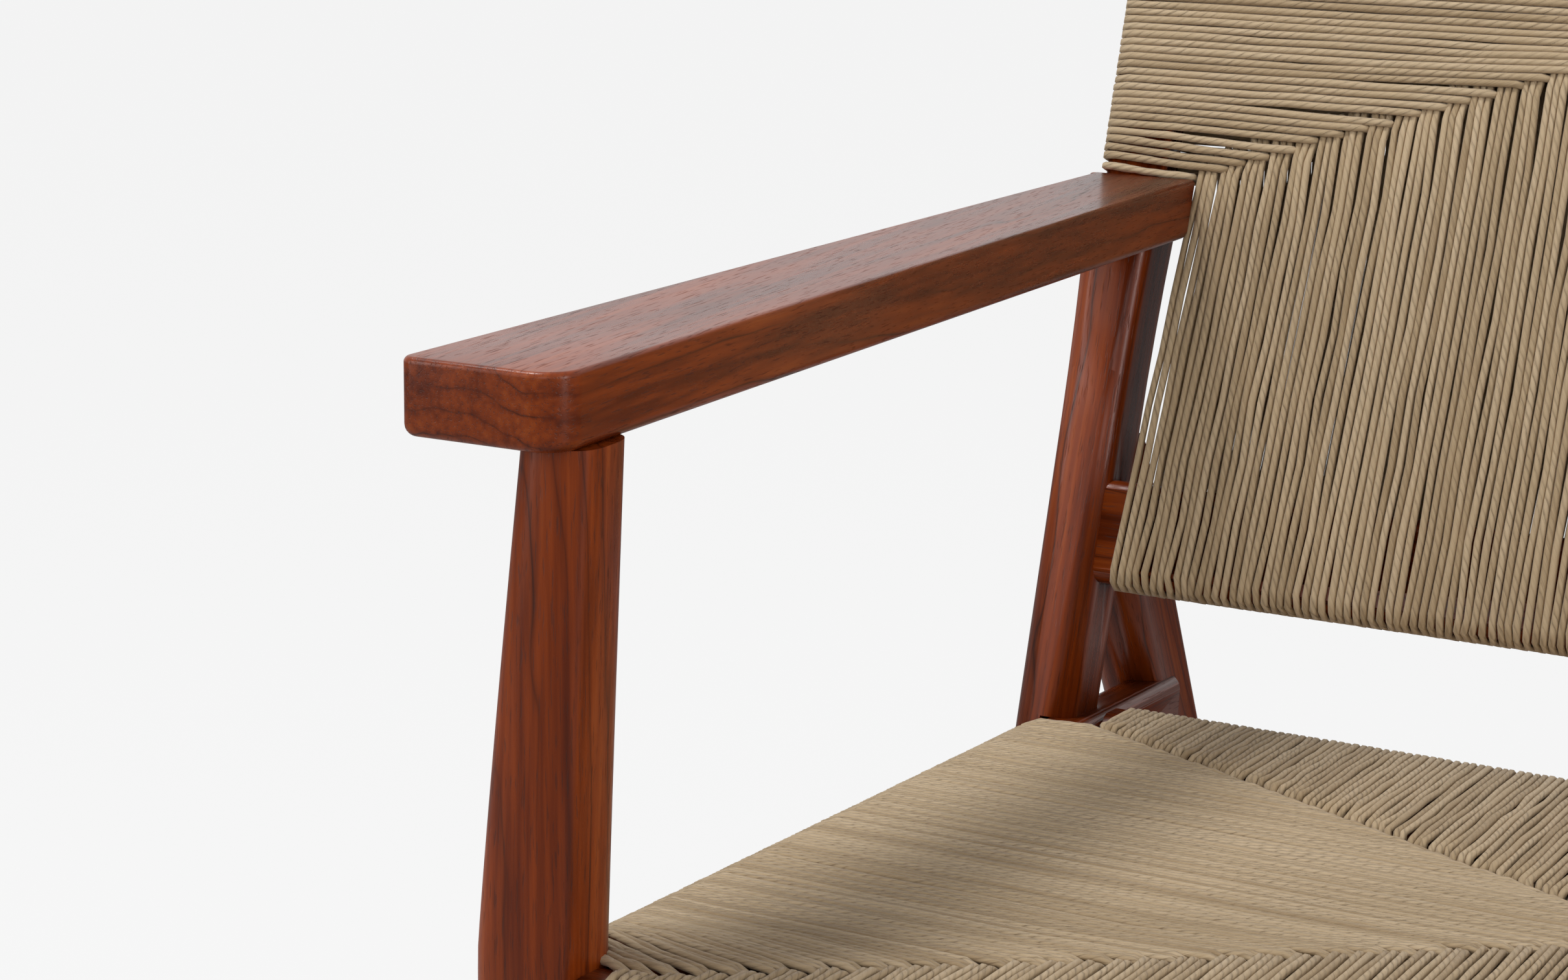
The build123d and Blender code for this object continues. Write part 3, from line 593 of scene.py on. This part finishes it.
for name, outer, direction in (("woven_back_lower_cord", back_bottom, 1),
                               ("woven_back_upper_cord", back_top, -1)):
    upright = np.arange(back_steps * 3)
    step, beside = upright // 3, upright % 3 - 1.0
    rail_x = back_edge - upright_pitch * (upright + 0.5)
    end_x = rail_x + beside * 0.00055
    level = lowest_row - row_drop[step] + 0.0042 + step * post_pitch
    end = level if direction == 1 else back_top - level
    inside = np.maximum((end - outer) * direction, 0.016)
    reach = np.concatenate([inside, inside]) + back_rng.normal(0, 0.0005, 2 * len(upright))
    inward, height = strand_loops(reach, back_depth_between, back_corner, False, back_rng)
    both = [np.concatenate([side, -side]) for side in (rail_x, end_x)]
    across = drift(inward, both[0], both[1], 0.075) + sway(inward.shape, back_rng, 0.00040)
    # Behind the rail each strand comes back half a pitch further on, evenly beside the next.
    across[:, -rings_behind:] = both[0][:, None] + upright_pitch / 2
    # The two strands next to the edge part a little where they pass behind the armrest's end.
    parted = np.where((upright == 2) | (upright == 4), -0.0004, 0.0)
    parted = np.concatenate([parted, -parted])[:, None] * (direction > 0)
    across = across + parted * np.sin(np.pi * np.clip(inward / inward.max(axis=1, keepdims=True), 0, 1)) ** 2
    up = outer + direction * inward
    across = across * (1 + flare * np.maximum(-up, 0))
    paths = place_strands(up, across, height, True, back_axes, back_origin)
    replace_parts(cord_tubes(name, paths, back_axes[0], back_rng, swell=fatter_behind), "woven_back")

# ---------------------------------------------------------------- floor, light and camera
# A plain pale studio floor, clear when seen from underneath, a pale world behind it, soft light
# from both sides, and a camera a little above the armrests, in front and to the sitter's left.
floor_mesh = bpy.data.meshes.new("studio_floor")
floor_mesh.from_pydata([(-9, -9, 0), (9, -9, 0), (9, 9, 0), (-9, 9, 0)], [], [(0, 1, 2, 3)])
floor = bpy.data.objects.new("studio_floor", floor_mesh)
bpy.context.scene.collection.objects.link(floor)
floor_shader = Shader("studio_floor", Roughness=0.9, Specular_IOR_Level=0.0)
floor_shader.feed(floor_shader.surface.inputs["Base Color"], (0.48, 0.48, 0.48))
camera_ray = floor_shader.node("ShaderNodeLightPath")
glow = floor_shader.node("ShaderNodeEmission", {}, {"Color": (1.0, 1.0, 1.0), "Strength": 1.0})
mixed = floor_shader.node("ShaderNodeMixShader", {}, {
    0: camera_ray * 0.88, 1: Value(floor_shader, floor_shader.surface.outputs[0]), 2: glow})
behind = floor_shader.node("ShaderNodeNewGeometry", output=6)
clear = floor_shader.node("ShaderNodeBsdfTransparent")
shown = floor_shader.node("ShaderNodeMixShader", {}, {0: behind, 1: mixed, 2: clear})
floor_shader.feed(floor_shader.tree.nodes["Material Output"].inputs["Surface"], shown)
floor_mesh.materials.append(floor_shader.material)

world = bpy.data.worlds.new("studio")
bpy.context.scene.world = world
# Its full strength is for what is seen, mirrored or looked through; as a light it is dimmer.
sky = Nodes(world)
glossy = sky.node("ShaderNodeLightPath", output="Is Glossy Ray")
through = sky.node("ShaderNodeLightPath", output="Is Transmission Ray")
direct = sky.node("ShaderNodeLightPath", output="Is Camera Ray")
mirrored = sky.node("ShaderNodeMath", {"operation": "MAXIMUM"}, {0: glossy, 1: through})
seen = sky.node("ShaderNodeMath", {"operation": "MAXIMUM"}, {0: mirrored, 1: direct})
strength = sky.node("ShaderNodeMapRange", {}, {"Value": seen, "To Min": 0.34})
background = sky.tree.nodes["Background"]
sky.feed(background.inputs["Color"], (0.913, 0.913, 0.913))
sky.feed(background.inputs["Strength"], strength)

for name, spot, aim, width, tall, power in (
        ("key_softbox", (-1.00, -0.45, 2.35), (-0.1, 0, 0.4), 0.5, 0.5, 24.5),
        ("left_strip", (-1.55, -1.60, 1.00), (-0.2, -0.2, 0.45), 0.34, 1.4, 9.5),
        ("right_strip", (1.85, -0.75, 1.00), (-0.1, -0.1, 0.45), 0.40, 1.4, 15.0),
        ("front_softbox", (0.6, -3.0, 1.5), (0, 0, 0.45), 1.3, 1.3, 9.0)):
    lamp = bpy.data.lights.new(name, "AREA")
    lamp.shape, lamp.size, lamp.size_y, lamp.energy = "RECTANGLE", width, tall, power
    holder = bpy.data.objects.new(name, lamp)
    bpy.context.scene.collection.objects.link(holder)
    holder.location = spot
    holder.rotation_euler = (Vector(aim) - Vector(spot)).to_track_quat("-Z", "Y").to_euler()
    holder.visible_camera = False

yaw, pitch, roll = map(math.radians, (27.05, -13.54, 1.00))
forward = Vector((-math.sin(yaw) * math.cos(pitch), math.cos(yaw) * math.cos(pitch), math.sin(pitch)))
right = forward.cross(Vector((0, 0, 1))).normalized()
up = right.cross(forward)
camera_x = math.cos(roll) * right + math.sin(roll) * up
camera_y = math.cos(roll) * up - math.sin(roll) * right
lens = bpy.data.cameras.new("studio_camera")
lens.sensor_fit, lens.sensor_width, lens.lens = "HORIZONTAL", 36.0, 72.06
lens.clip_start, lens.clip_end = 0.05, 40.0
camera = bpy.data.objects.new("studio_camera", lens)
bpy.context.scene.collection.objects.link(camera)
camera.matrix_world = Matrix.Translation((0.1831, -1.175, 0.7381)) @ Matrix(
    (camera_x, camera_y, -forward)).transposed().to_4x4()
bpy.context.scene.camera = camera
bpy.context.scene.view_settings.view_transform = "Standard"
